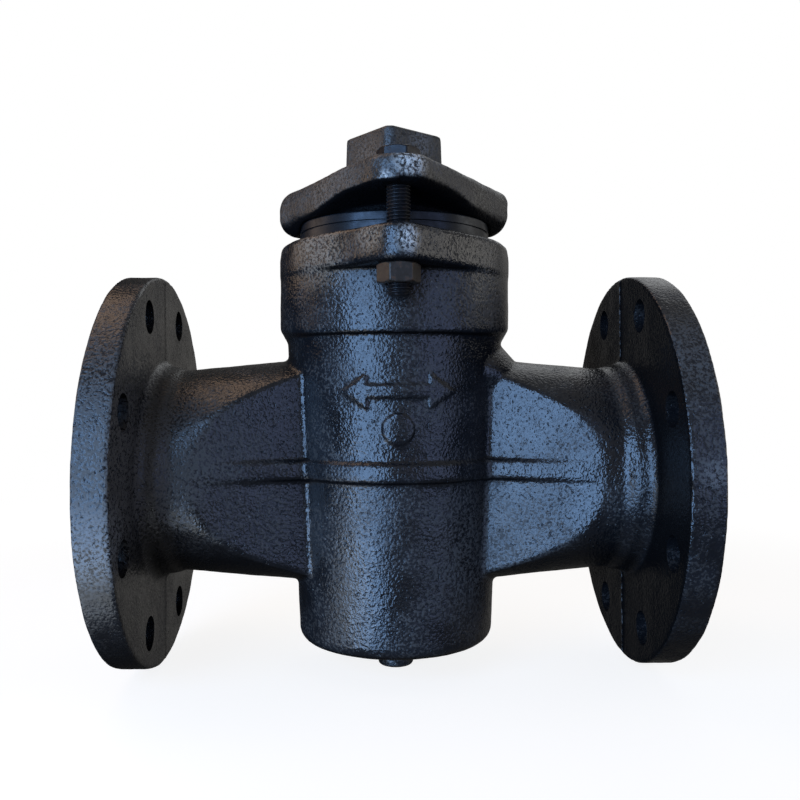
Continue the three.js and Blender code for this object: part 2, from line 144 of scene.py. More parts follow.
def slab(value, low, high):
    return np.abs(value - (low + high) / 2) - (high - low) / 2


def smooth(value, low, high):
    """0 below low, 1 above high, with a smooth step between."""
    t = np.clip((value - low) / (high - low), 0.0, 1.0)
    return t * t * (3 - 2 * t)


def lozenge(x, y, side_x, side_r, end_y, end_r):
    """Outline of a belt round circles at (+-side_x, 0) and (0, +-end_y)."""
    x, y = np.abs(x), np.abs(y)
    span = math.hypot(side_x, end_y)
    lean = math.atan2(end_y, -side_x) - math.acos((side_r - end_r) / span)
    nx, ny = math.cos(lean), math.sin(lean)
    along = -ny * (x - side_x) + nx * y
    length = ny * side_x + nx * end_y
    flat = nx * x + ny * y - (nx * side_x + side_r)
    side = np.hypot(x - side_x, y) - side_r
    end = np.hypot(x, y - end_y) - end_r
    return np.where(along < 0, side, np.where(along > length, end, flat))


def barrel_radius(z):
    return BARREL_R + BARREL_TAPER * z


def plug_radius(z):
    return PLUG_R_TOP + (z - PLUG_TOP) * PLUG_TAPER


def wing_y(x):
    return WING_Y + WING_SLOPE * (x - WING_X)


def flow_marks(x, z):
    """Outline of a two-way flow arrow with a plain round boss below it."""
    half, head, head_half, bar_half = 29.0, 13.0, 9.0, 3.4
    arrow_z, boss_z, boss_r = 43.5, 24.5, 8.0
    ax, az = np.abs(x), np.abs(z - arrow_z)
    slant = ((ax - half) * head_half + az * head) / math.hypot(head, head_half)
    heads = np.maximum(slant, half - head - ax)
    bar = np.maximum(az - bar_half, ax - half + head - 1)
    boss = np.hypot(x, z - boss_z) - boss_r
    return np.minimum(np.minimum(heads, bar), boss)


def body_field(x, y, z):
    """The rough casting, before machining."""
    r, rx, ax, ay = np.hypot(x, y), np.hypot(y, z), np.abs(x), np.abs(y)
    barrel = round_cut(r - barrel_radius(z), BARREL_BOTTOM - z, 7.0)
    barrel = np.maximum(barrel, z - COLLAR_LOW - 25)
    wing_lean = math.cos(math.atan(WING_SLOPE))
    neck_radius = NECK_R - NECK_TAPER * (ax - 55.0)
    nose_edge = 1.2 + 5.0 * smooth(ax, 92, 114)
    flats = (ay - wing_y(ax)) * wing_lean
    neck = round_cut(np.hypot(y / NECK_STRETCH, z) - neck_radius, flats, nose_edge)
    neck = np.maximum(neck, ax - FLANGE_BACK_X - 6)
    rib_slope = (wing_y(RIB_END_X) - WING_Y - RIB_PROUD) / (RIB_END_X - WING_X)
    rib_y = WING_Y + RIB_PROUD + rib_slope * (ax - WING_X)
    rib = round_cut((ay - rib_y) * math.cos(math.atan(rib_slope)), slab(z, RIB_LOW, RIB_HIGH), 1.8)
    rib = np.maximum(rib, ax - RIB_END_X - 6)
    neck = round_union(neck, rib, 1.8)
    hub = np.hypot(y / HUB_STRETCH, z)
    bead = np.hypot(ax - (FLANGE_BACK_X - 7.5), hub - HUB_R) - 4.0
    neck = round_union(neck, bead, 4.5)
    root = np.hypot(ax - (FLANGE_BACK_X - 1.5), hub - HUB_R - 1.0) - 4.5
    neck = round_union(neck, root, 3.0)
    disc = round_cut(rx - FLANGE_R, slab(ax, FLANGE_BACK_X, RIM_X), 1.2)
    seam_reach = np.maximum(rx - FLANGE_R + 1.5, slab(ax, FLANGE_BACK_X - 0.6, RIM_X - 1))
    seam = round_cut(slab(y, -0.9, 0.9), seam_reach, 0.5)
    disc = round_union(disc, seam, 0.6)
    neck = round_union(neck, disc, 4.0)
    band = round_cut(r - BARREL_R - BAND_PROUD, slab(z, RIB_LOW, RIB_HIGH), 1.8)
    barrel = round_union(barrel, band, 1.8)
    marks = round_cut(flow_marks(x, z), r - barrel_radius(z) - 1.5, 0.7)
    marks = np.maximum(marks, y)
    barrel = round_union(barrel, marks, 0.7)
    bevel = (barrel + neck - 8.5 * smooth(z, 40, 56)) * math.sqrt(0.5)
    casting = round_union(barrel, neck, 2.8)
    casting = np.where(x > 0, np.minimum(casting, bevel), casting)
    to_side = (ax / np.maximum(r, 1.0)) ** 4
    collar = round_cut(r - COLLAR_R, slab(z, COLLAR_LOW, BARREL_TOP), 1.4 + 5.0 * to_side)
    side_fillet = 3.0 * to_side * (1 - smooth(z, COLLAR_LOW, COLLAR_LOW + 5))
    casting = round_union(casting, collar, 1.0 + side_fillet)
    lug_edge = np.where(z < (LUG_LOW + BARREL_TOP) / 2, 2.6 + 1.6 * smooth(ay, 45, 80), 3.2)
    belt = lozenge(x, y, 0.0, COLLAR_R - 0.4, BOLT_Y, LUG_R)
    belt = belt - 1.5 * smooth(ay, 20, 42) * smooth(-ay, -70, -55)
    lugs = round_cut(belt, slab(z, LUG_LOW, BARREL_TOP), lug_edge)
    fillet = np.clip(BARREL_TOP - 6 - z, 0.01, 1.5)
    return round_union(casting, lugs, fillet)


def gland_field(x, y, z):
    """The gland plate, deep at the sides and thin at the ears, before machining."""
    ear = smooth(np.abs(y), 5.0, 65.0)
    low = GLAND_SIDE_LOW + (GLAND_EAR_LOW - GLAND_SIDE_LOW) * ear
    top_edge = 4.5 + np.where(x < 0, 6.5, 2.5) * (1 - ear)
    low_edge = np.where(x < 0, 10.5, 13.0) - 8.0 * smooth(np.abs(y), 12.0, 42.0)
    edge = np.where(z < GLAND_HIGH - 6 - 6 * (1 - ear), low_edge, top_edge)
    plate = round_cut(lozenge(x, y, 52.0, 13.0, 70.0, 18.0), slab(z, low, GLAND_HIGH), edge)
    neck = round_cut(np.hypot(x, y) - 48.0, slab(z, FOLLOWER_HIGH, GLAND_HIGH - 3), 0.8)
    ring_room = round_cut(np.hypot(x, y) - FOLLOWER_R - 0.6, z - FOLLOWER_HIGH, 0.1)
    plate = round_cut(plate, -ring_room, 0.6)
    return round_union(plate, neck, 1.0)


def plug_field(x, y, z):
    """Plug, stem and drafted square head, before the port is cut."""
    r = np.hypot(x, y)
    seat = round_cut(r - plug_radius(z), slab(z, PLUG_LOW, PLUG_TOP), 1.0)
    stem = round_cut(r - STEM_R, slab(z, PLUG_TOP - 8, STEM_TOP), 1.5)
    draft = 0.033 * (z - STEM_TOP)
    along = np.abs(x * math.cos(HEAD_TURN) + y * math.sin(HEAD_TURN))
    across = np.abs(y * math.cos(HEAD_TURN) - x * math.sin(HEAD_TURN))
    flats = (along + across) / math.sqrt(2) - HEAD_FLATS / 2 + 0.7 * draft
    corners = np.maximum(along, across) - HEAD_CORNER + draft
    head = round_cut(round_cut(flats, corners, 0.8), slab(z, STEM_TOP - 6, HEAD_TOP), 2.2)
    return round_union(round_union(seat, stem, 0.3), head, 2.0)


def hexagon_field(flats, low, high, low_chamfer=True, turn=0.0):
    """A function that gives the field of an upright hexagon with turned chamfers."""
    def field(x, y, z):
        sides = np.abs(x * math.cos(turn) + y * math.sin(turn)) - flats / 2
        for i in (1, 2):
            angle = turn + i * math.pi / 3
            sides = round_cut(sides, np.abs(x * math.cos(angle) + y * math.sin(angle)) - flats / 2, 0.25)
        solid = round_cut(sides, slab(z, low, high), 0.25)
        cone = (np.hypot(x, y) - 0.485 * flats) * 0.5
        solid = round_cut(solid, cone + (z - high) * 0.866, 0.2)
        if low_chamfer:
            solid = round_cut(solid, cone + (low - z) * 0.866, 0.2)
        return solid
    return field


# ------------------------------------------------------------------ mesh making
def new_object(name, data):
    """A new object in the scene from a mesh, lamp or camera."""
    made = bpy.data.objects.new(name, data)
    bpy.context.scene.collection.objects.link(made)
    return made


def mesh_object(name, points_mm, faces):
    """A new object from points in mm round the crossing and a list of faces."""
    mesh = bpy.data.meshes.new(name)
    mesh.from_pydata([(x * MM, y * MM, (z + CROSSING_HEIGHT) * MM) for x, y, z in points_mm], [], faces)
    return new_object(name, mesh)


def build_object(name, points_mm, faces):
    """A new object from points in mm round the crossing and an array of faces with equal corner counts."""
    points = np.asarray(points_mm, np.float32) * MM
    points[:, 2] += CROSSING_HEIGHT * MM
    faces = np.asarray(faces, np.int32)
    mesh = bpy.data.meshes.new(name)
    mesh.vertices.add(len(points))
    mesh.vertices.foreach_set("co", points.ravel())
    mesh.loops.add(faces.size)
    mesh.polygons.add(len(faces))
    mesh.polygons.foreach_set("loop_start", np.arange(0, faces.size, faces.shape[1], dtype=np.int32))
    mesh.polygons.foreach_set("vertices", faces.ravel())
    mesh.update(calc_edges=True)
    return new_object(name, mesh)


def field_object(name, field, low, high, voxel, centre=(0.0, 0.0)):
    """Meshes the zero surface of a distance field inside a box in mm. Centre moves the result in X and Y."""
    axes = [np.arange(a - 2 * voxel, b + 3 * voxel, voxel, dtype=np.float32) for a, b in zip(low, high)]
    distance = field(axes[0][:, None, None], axes[1][None, :, None], axes[2][None, None, :])
    distance = np.clip(distance, -3 * voxel, 3 * voxel).astype(np.float32)
    grid = openvdb.FloatGrid(3 * voxel)
    grid.copyFromArray(np.ascontiguousarray(distance))
    points, quads = grid.convertToQuads(isovalue=0.0)
    points = points * voxel + np.array([axis[0] for axis in axes])
    points[:, 0] += centre[0]
    points[:, 1] += centre[1]
    return build_object(name, points, outward(points, quads))


def outward(points, faces):
    """Turns the faces over if they point in."""
    a, b, c = (points[faces[:, i]] for i in range(3))
    d = points[faces[:, -1]]
    volume = sum(np.einsum("ij,ij->i", a, np.cross(*pair)).sum() for pair in ((b, c), (c, d)))
    return faces[:, ::-1] if volume < 0 else faces


def lathe_object(name, profile, segments=128, along_x=False, centre=(0.0, 0.0)):
    """Turns closed [radius, height] points round Z, or round X. Points on the axis become a fan."""
    angles = np.arange(segments) * 2 * math.pi / segments
    points, rows = [], []
    for radius, height in profile:
        if radius < 1e-6:
            rows.append([len(points)] * segments)
            points.append((0.0, 0.0, height))
        else:
            rows.append(list(range(len(points), len(points) + segments)))
            points.extend((radius * math.cos(a), radius * math.sin(a), height) for a in angles)
    faces = []
    pairs = list(zip(rows, rows[1:]))
    if profile[0][0] > 1e-6:
        pairs.append((rows[-1], rows[0]))
    for lower, upper in pairs:
        for i in range(segments):
            j = (i + 1) % segments
            corners = [lower[i], lower[j], upper[j], upper[i]]
            faces.append([c for k, c in enumerate(corners) if c != corners[k - 1]])
    points = np.array(points)
    if along_x:
        points = points[:, [2, 0, 1]]
    points[:, 0] += centre[0]
    points[:, 1] += centre[1]
    return mesh_object(name, points, faces)


def arc(centre_r, centre_h, radius, start, end, steps=6):
    """Profile points on an arc, angles in degrees."""
    return [
        (centre_r + radius * math.cos(math.radians(a)), centre_h + radius * math.sin(math.radians(a)))
        for a in np.linspace(start, end, steps + 1)
    ]


def boolean(target, tools, operation="DIFFERENCE"):
    """Cuts the tools from the target, or joins them to it, and removes the tools."""
    for tool in tools:
        modifier = target.modifiers.new("cut", "BOOLEAN")
        modifier.solver = "MANIFOLD"
        modifier.operation = operation
        modifier.object = tool
    bpy.context.view_layer.update()
    result = target.evaluated_get(bpy.context.evaluated_depsgraph_get())
    mesh = bpy.data.meshes.new_from_object(result)
    target.modifiers.clear()
    target.data = mesh
    for tool in tools:
        bpy.data.objects.remove(tool)


def drill(radius, low, high, x=0.0, y=0.0, along_x=False, segments=64):
    """A round cutter."""
    profile = [(0, low), (radius, low), (radius, high), (0, high)]
    return lathe_object("cutter", profile, segments, along_x, (x, y))


def roughen(piece, swell, ripple):
    """Moves vertices along their normals by slow and fast noise, both sizes in mm."""
    mesh = piece.data
    count = len(mesh.vertices)
    points = np.empty(count * 3, np.float32)
    normals = np.empty(count * 3, np.float32)
    mesh.vertices.foreach_get("co", points)
    mesh.vertex_normals.foreach_get("vector", normals)
    points, normals = points.reshape(-1, 3), normals.reshape(-1, 3)
    slow = np.array([noise.noise(Vector(p) * 70) for p in points])
    fast = np.array([noise.noise(Vector(p) * 330) for p in points])
    points += normals * ((slow * swell + fast * ripple) * MM)[:, None]
    mesh.vertices.foreach_set("co", points.ravel())
    mesh.update()


def thin_to(piece, triangles):
    """Collapses a mesh to about that many triangles, flat areas first."""
    now = sum(len(p.vertices) - 2 for p in piece.data.polygons)
    if now <= triangles:
        return
    modifier = piece.modifiers.new("thin", "DECIMATE")
    modifier.ratio = triangles / now
    boolean(piece, [])


def shade(piece, angle=40.0):
    for polygon in piece.data.polygons:
        polygon.use_smooth = True
    piece.data.set_sharp_from_angle(angle=math.radians(angle))


def finish_piece(piece, node, body, slot, *materials, angle=40.0):
    """Shades a piece, gives it its materials, and lets it stand for its CAD node on its body."""
    shade(piece, angle)
    piece.data.materials.clear()
    for material in materials:
        piece.data.materials.append(material)
    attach(piece, body)
    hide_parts(node)


# ------------------------------------------------------------------ materials
class Nodes:
    """Short calls for building one material's node tree."""

    def __init__(self, name):
        self.material = bpy.data.materials.new(name)
        self.material.use_nodes = True
        self.tree = self.material.node_tree
        self.shader = self.tree.nodes["Principled BSDF"]
        self.place = self.tree.nodes.new("ShaderNodeTexCoord").outputs["Object"]

    def link(self, value, socket):
        if isinstance(value, bpy.types.NodeSocket):
            self.tree.links.new(value, socket)
        else:
            socket.default_value = value

    def noise(self, size_mm, detail=2.0, roughness=0.5, stretch=None):
        node = self.tree.nodes.new("ShaderNodeTexNoise")
        node.inputs["Scale"].default_value = 1000.0 / size_mm
        node.inputs["Detail"].default_value = detail
        node.inputs["Roughness"].default_value = roughness
        self.link(self.stretched(stretch) if stretch else self.place, node.inputs["Vector"])
        return node.outputs["Fac"]

    def stretched(self, scale):
        node = self.tree.nodes.new("ShaderNodeMapping")
        node.inputs["Scale"].default_value = scale
        self.link(self.place, node.inputs["Vector"])
        return node.outputs["Vector"]

    def cells(self, size_mm):
        node = self.tree.nodes.new("ShaderNodeTexVoronoi")
        node.inputs["Scale"].default_value = 1000.0 / size_mm
        self.link(self.place, node.inputs["Vector"])
        return node.outputs["Distance"]

    def ramp(self, value, low, high, start=0.0, end=1.0):
        node = self.tree.nodes.new("ShaderNodeMapRange")
        node.interpolation_type = "SMOOTHSTEP"
        sockets = ("Value", "From Min", "From Max", "To Min", "To Max")
        for socket, number in zip(sockets, (value, low, high, start, end)):
            self.link(number, node.inputs[socket])
        return node.outputs["Result"]

    def math(self, operation, a, b=0.0):
        node = self.tree.nodes.new("ShaderNodeMath")
        node.operation = operation
        self.link(a, node.inputs[0])
        self.link(b, node.inputs[1])
        return node.outputs[0]

    def times(self, a, b):
        return self.math("MULTIPLY", a, b)

    def larger(self, a, b):
        return self.math("MAXIMUM", a, b)

    def length(self, a, b):
        """Square root of the sum of two squares."""
        return self.math("SQRT", self.math("ADD", self.times(a, a), self.times(b, b)))

    def mix(self, factor, a, b):
        node = self.tree.nodes.new("ShaderNodeMix")
        node.data_type = "RGBA"
        for socket, value in zip((node.inputs["Factor"], node.inputs[6], node.inputs[7]), (factor, a, b)):
            self.link(value if isinstance(value, (float, bpy.types.NodeSocket)) else (*value, 1.0), socket)
        return node.outputs[2]

    def bump(self, height, distance_mm, strength=1.0, under=None):
        node = self.tree.nodes.new("ShaderNodeBump")
        node.inputs["Distance"].default_value = distance_mm * MM
        node.inputs["Strength"].default_value = strength
        self.link(height, node.inputs["Height"])
        if under is not None:
            self.link(under, node.inputs["Normal"])
        return node.outputs["Normal"]

    def parts(self, vector):
        node = self.tree.nodes.new("ShaderNodeSeparateXYZ")
        self.link(vector, node.inputs[0])
        return node.outputs

    def facing(self, axis, start, end):
        """0 while the surface normal's part along an axis is at start, 1 at end."""
        normal = self.tree.nodes.new("ShaderNodeNewGeometry").outputs["Normal"]
        return self.ramp(self.parts(normal)[axis], start, end)

    def rings(self, size_mm):
        """Noise that depends only on the distance from the flow axis."""
        _, y, z = self.parts(self.place)
        reach = self.length(y, self.math("SUBTRACT", z, CROSSING_HEIGHT * MM))
        node = self.tree.nodes.new("ShaderNodeTexNoise")
        node.noise_dimensions = "1D"
        node.inputs["Scale"].default_value = 1000.0 / size_mm
        self.link(reach, node.inputs["W"])
        return node.outputs["Fac"]

    def hollow(self, reach_mm):
        """1 in hollows and corners no wider than the reach, 0 in the open."""
        node = self.tree.nodes.new("ShaderNodeAmbientOcclusion")
        node.samples = 6
        node.inputs["Distance"].default_value = reach_mm * MM
        return self.ramp(node.outputs["AO"], 0.85, 0.48)

    def near_middle(self, half_width_mm):
        """1 on the plane through the two axes, 0 beyond that distance from it."""
        distance = self.math("ABSOLUTE", self.parts(self.place)["Y"])
        return self.ramp(distance, half_width_mm * MM, 0.6 * half_width_mm * MM)

    def within(self, radius_mm, top_mm):
        """1 inside an upright cylinder round the plug axis, up to a height in mm above the crossing."""
        x, y, z = self.parts(self.place)
        inside = self.ramp(self.length(x, y), radius_mm * MM, (radius_mm - 1) * MM)
        top = (top_mm + CROSSING_HEIGHT) * MM
        return self.times(inside, self.ramp(z, top, top - MM))

    def near(self, point_mm, radius_mm):
        """1 at a point given in mm round the crossing, fading to 0 at the radius."""
        node = self.tree.nodes.new("ShaderNodeVectorMath")
        node.operation = "DISTANCE"
        self.link(self.place, node.inputs[0])
        x, y, z = point_mm
        node.inputs[1].default_value = (x * MM, y * MM, (z + CROSSING_HEIGHT) * MM)
        return self.ramp(node.outputs["Value"], 0.2 * radius_mm * MM, radius_mm * MM, 1.0, 0.0)

    def done(self, **values):
        """Links values to the shader's inputs and gives the finished material."""
        names = {"color": "Base Color", "rough": "Roughness", "metal": "Metallic", "normal": "Normal",
                 "specular": "Specular IOR Level"}
        for key, value in values.items():
            if isinstance(value, tuple):
                value = (*value, 1.0)
            self.link(value, self.shader.inputs[names[key]])
        return self.material


def cast_paint(name, tone=(0.007, 0.0075, 0.009), grain=0.2, gloss=0.2, dusty=0.35,
               is_gland=False, scuffs_and_painted_light=()):
    """Black gloss paint over sand-cast iron: sand grain, pits, pale dots painted in as glints, painted shade
    in hollows, and patches of wear, dust and painted light.

    Tone is the clean paint, dusty the share of dust, and scuffs_and_painted_light a list of (point in mm,
    radius, colour) for worn spots, paler and brown patches and painted highlights.
    Shade is painted in as near-black colour with less shine: the gland under its plate and below, the body
    below and on the back of its right flange, where its seam gets a painted highlight, and both in hollows.
    """
    m = Nodes(name)
    swell = m.noise(6.0, 2.0, 0.5)
    sand = m.noise(1.5, 1.0, 0.6)
    pits = m.ramp(m.noise(2.0, 1.0), 0.29, 0.36)
    patches = m.noise(23.0, 3.0)
    # Pale dots painted in as glints on the sand grain.
    painted_glints = m.times(m.ramp(m.cells(3.6), 0.15, 0.08), m.ramp(m.noise(5.0), 0.55, 0.62))
    dust = m.times(m.ramp(sand, 0.5, 0.62), m.ramp(patches, 0.4, 0.62))
    normal = m.bump(swell, 0.35, 0.5)
    normal = m.bump(m.math("ADD", sand, m.times(pits, 0.4)), 1.9 * grain, 1.0, normal)
    color = m.mix(m.ramp(patches, 0.35, 0.7), tone, tuple(c * 1.9 for c in tone))
    color = m.mix(m.times(dust, dusty), color, (0.085, 0.075, 0.064))
    color = m.mix(m.times(painted_glints, 0.6), color, (0.2, 0.196, 0.19))
    rough = m.ramp(patches, 0.3, 0.7, gloss - 0.04, gloss + 0.08)
    rough = m.math("ADD", rough, m.times(dust, 0.25))
    # Each entry mixes its colour in over noise near a point: worn spots, paler and brown patches, and a
    # painted highlight.
    for point, radius, shade_of in scuffs_and_painted_light:
        worn = m.times(m.near(point, radius), m.ramp(m.noise(1.5, 4.0, 0.75), 0.43, 0.57))
        color = m.mix(worn, color, shade_of)
        rough = m.math("ADD", rough, m.times(worn, 0.3))
    # Painted shade: near-black colour and less shine in hollows (by ambient occlusion), on surfaces facing
    # down, under the gland plate and on the back of the right flange.
    hollow = m.hollow(34.0)
    if is_gland:
        under_plate = m.within(FOLLOWER_R - 4, GLAND_HIGH - 9)
        painted_shade = m.larger(m.facing("Z", -0.15, -0.6), under_plate)
    else:
        right_end = m.ramp(m.parts(m.place)["X"], (RIB_END_X + 4) * MM, (RIB_END_X + 12) * MM)
        right_face = m.times(m.facing("X", -0.6, -0.9), right_end)
        painted_shade = m.larger(m.facing("Z", -0.45, -0.85), right_face)
        # Painted highlight: a pale line along the casting seam on the back of the right flange.
        seam = m.times(right_face, m.near_middle(1.1))
        seam = m.times(seam, m.ramp(m.noise(3.0, 3.0), 0.45, 0.6))
    painted_shade = m.larger(painted_shade, m.times(hollow, 0.7))
    # Mix the painted shade in as near-black colour.
    color = m.mix(painted_shade, color, (0.004, 0.004, 0.0045))
    # The painted seam highlight, mixed in as pale grey.
    if not is_gland:
        color = m.mix(seam, color, (0.12, 0.12, 0.12))
    specular = m.times(m.ramp(sand, 0.3, 0.6, 0.48, 0.66), m.ramp(pits, 0.0, 1.0, 0.45, 1.0))
    # The painted shade also takes away most of the shine.
    specular = m.times(specular, m.ramp(painted_shade, 0.0, 1.0, 1.0, 0.05 if is_gland else 0.25))
    return m.done(color=color, rough=rough, normal=normal, specular=specular)


def machined_iron(name, tone, rings_mm=0.6, rough=0.3, metal=0.8, worn=0.45, flow_axis=False):
    """Turned iron with fine tool marks, round the plug axis or the flow axis, and stains."""
    m = Nodes(name)
    marks = m.rings(rings_mm) if flow_axis else m.noise(rings_mm, 2.0, 0.6, stretch=(0.06, 0.06, 1.0))
    stains = m.noise(9.0, 4.0, 0.6)
    color = m.mix(m.ramp(stains, 0.4, 0.65), tone, tuple(c * worn for c in tone))
    normal = m.bump(marks, 0.05, 0.8)
    normal = m.bump(m.noise(1.2, 3.0), 0.05, 0.5, normal)
    stained = m.ramp(stains, 0.3, 0.7, rough, rough + 0.3 * (1 - worn))
    return m.done(color=color, metal=metal, normal=normal, rough=stained)


def dark_steel(name, tone=(0.018, 0.018, 0.02), rust=0.2):
    """Black-oxide steel with oil film and traces of rust."""
    m = Nodes(name)
    stains = m.noise(2.6, 4.0, 0.65)
    color = m.mix(m.times(m.ramp(stains, 0.5, 0.7), rust), tone, (0.12, 0.055, 0.025))
    normal = m.bump(m.noise(0.5, 3.0, 0.6), 0.04, 0.8)
    return m.done(color=color, metal=0.55, normal=normal, rough=m.ramp(stains, 0.3, 0.7, 0.28, 0.5))


def bright_steel(name, tone, rough=0.2):
    """Bare metal with faint scratches."""
    m = Nodes(name)
    scratches = m.noise(0.35, 2.0, 0.7, stretch=(1.0, 0.05, 0.4))
    color = m.mix(m.ramp(m.noise(5.0, 3.0), 0.35, 0.7), tone, tuple(c * 0.75 for c in tone))
    return m.done(color=color, metal=1.0, normal=m.bump(scratches, 0.02, 0.6),
                  rough=m.ramp(scratches, 0.3, 0.7, rough, rough + 0.12))


def graphite_braid(name):
    """Square-braided graphite yarn."""
    m = Nodes(name)
    fibre = m.noise(0.35, 2.0, 0.6, stretch=(1.0, 1.0, 3.0))
    color = m.mix(m.ramp(fibre, 0.35, 0.65), (0.02, 0.02, 0.022), (0.075, 0.075, 0.08))
    normal = m.bump(fibre, 0.12, 0.9)
    return m.done(color=color, metal=0.25, normal=normal, rough=m.ramp(fibre, 0.3, 0.7, 0.4, 0.65))


# Colours for the paint marks: worn spots, patches that are partly dust and partly painted light, and a
# painted highlight.
SCUFF_PALE, SCUFF_GREY, BROWN_DUST_AND_SHEEN = (0.6, 0.57, 0.52), (0.15, 0.145, 0.14), (0.25, 0.175, 0.115)
DUST_AND_LIGHT_BLACK, PAINTED_RIM_HIGHLIGHT, TAN_DUST_AND_SHEEN = (0.055, 0.053, 0.05), (0.17, 0.18, 0.19), (0.14, 0.10, 0.07)
DUST_AND_LIGHT_GREY = (0.1, 0.096, 0.09)
EAR_FRONT_Y = -88.0
body_paint = cast_paint("body_paint", scuffs_and_painted_light=[
    # Paler patches, partly dust and partly painted light, on both flanges, the lower right of the barrel and
    # the collar.
    ((-130.0, -85.0, 20.0), 85.0, DUST_AND_LIGHT_BLACK),
    ((-128.0, -70.0, 5.0), 45.0, DUST_AND_LIGHT_BLACK),
    ((48.0, -34.0, -38.0), 55.0, DUST_AND_LIGHT_BLACK),
    ((52.0, -38.0, 98.0), 30.0, DUST_AND_LIGHT_BLACK),
    ((-130.0, -94.0, 5.0), 62.0, DUST_AND_LIGHT_GREY),
    ((142.0, -88.0, 62.0), 40.0, DUST_AND_LIGHT_BLACK),
    ((6.0, EAR_FRONT_Y, BARREL_TOP - 8), 10.0, SCUFF_PALE),
    # Brown patches on the left of the lug, partly dust and partly a painted warm reflection.
    ((-38.0, -50.0, BARREL_TOP - 7), 28.0, BROWN_DUST_AND_SHEEN),
    ((-14.0, -78.0, BARREL_TOP - 4), 14.0, BROWN_DUST_AND_SHEEN),
    # Painted highlight: the reflection of a bright floor on the lower left flange rim.
    ((-141.0, -103.0, -24.0), 28.0, PAINTED_RIM_HIGHLIGHT),
    ((-111.0, -58.0, -24.0), 10.0, SCUFF_GREY),
    ((142.0, -100.0, 5.0), 14.0, SCUFF_GREY),
])
gland_paint = cast_paint("gland_paint", (0.018, 0.017, 0.016), 0.26, 0.32, 0.6, True, scuffs_and_painted_light=[
    ((7.0, EAR_FRONT_Y, GLAND_HIGH - 4), 13.0, SCUFF_PALE),
    ((-7.0, EAR_FRONT_Y, GLAND_EAR_LOW + 2), 5.0, SCUFF_PALE),
    ((22.0, -76.0, GLAND_HIGH), 12.0, SCUFF_GREY),
    # Tan patch on the left of the plate, partly dust and partly a painted warm reflection.
    ((-34.0, -50.0, GLAND_HIGH - 5), 34.0, TAN_DUST_AND_SHEEN),
])
plug_paint = cast_paint("plug_paint", (0.018, 0.017, 0.016), 0.2, 0.36, 0.6, scuffs_and_painted_light=[
    # Tan patch on the left of the head, partly dust and partly a painted warm reflection.
    ((-16.0, -14.0, HEAD_TOP - 18), 22.0, TAN_DUST_AND_SHEEN),
    ((14.0, -14.0, HEAD_TOP - 8), 12.0, SCUFF_GREY),
])
machined = machined_iron("machined_iron", (0.34, 0.35, 0.37))
turned_faces = machined_iron("turned_faces", (0.27, 0.275, 0.285), 1.1, 0.34, worn=0.7, flow_axis=True)
follower_iron = machined_iron("follower_iron", (0.018, 0.022, 0.028), rough=0.25, metal=0.5)
thread_steel = dark_steel("thread_steel")
nut_steel = dark_steel("nut_steel", (0.045, 0.037, 0.031), rust=0.6)
ball_steel = bright_steel("ball_steel", (0.62, 0.63, 0.65), 0.12)
washer_steel = bright_steel("washer_steel", (0.45, 0.46, 0.48), 0.3)
copper = bright_steel("copper", (0.62, 0.30, 0.17), 0.28)
graphite = graphite_braid("graphite_braid")


# ------------------------------------------------------------------ pieces
VOXEL = 1.15


def passage_section(x, angle):
    """One point of the flow passage's outline: round at the faces, tall and narrow at the plug."""
    spread = min(max((abs(x) - WING_X) / (FACE_X - 12 - WING_X), 0.0), 1.0)
    half_width = PORT_HALF_WIDTH + (BORE_R - PORT_HALF_WIDTH) * spread
    power = 4.0 - 2.0 * spread
    c, s = math.cos(angle), math.sin(angle)
    reach = (abs(c) ** power + abs(s) ** power) ** (-1 / power)
    return x, half_width * c * reach, BORE_R * s * reach


def passage_cutter(half_length, steps, round_steps=96):
    """The flow passage as a closed cutter."""
    stations = np.linspace(-half_length, half_length, steps + 1)
    points = [passage_section(x, 2 * math.pi * k / round_steps) for x in stations for k in range(round_steps)]
    faces = []
    for i in range(steps):
        for k in range(round_steps):
            a, b = i * round_steps + k, i * round_steps + (k + 1) % round_steps
            faces.append((a, b, b + round_steps, a + round_steps))
    faces.append(tuple(reversed(range(round_steps))))
    faces.append(tuple(range(steps * round_steps, (steps + 1) * round_steps)))
    return mesh_object("passage", points, faces)


def barrel_cavity():
    """Ball pocket, tapered seat and stuffing box as one turned cutter."""
    gap = 0.35
    pocket_top = PLUG_LOW - 3
    return lathe_object("cavity", [
        (0, POCKET_LOW), (POCKET_R - 2, POCKET_LOW), (POCKET_R, POCKET_LOW + 2), (POCKET_R, pocket_top),
        (plug_radius(pocket_top) + gap, pocket_top), (plug_radius(BOX_BOTTOM) + gap, BOX_BOTTOM),
        (BOX_R, BOX_BOTTOM), (BOX_R, BARREL_TOP - 1.5),
        (BOX_R + 3, BARREL_TOP + 1.5), (0, BARREL_TOP + 1.5),
    ], 160)


def make_raised_face(side):
    """The turned face of one flange, as a disc that reaches into the rim."""
    inside = FACE_X - 10
    return lathe_object("raised_face", [
        (0, side * inside), (RAISED_FACE_R, side * inside), (RAISED_FACE_R, side * (FACE_X - 0.4)),
        (RAISED_FACE_R - 0.4, side * FACE_X), (0, side * FACE_X),
    ][::side], 160, along_x=True)


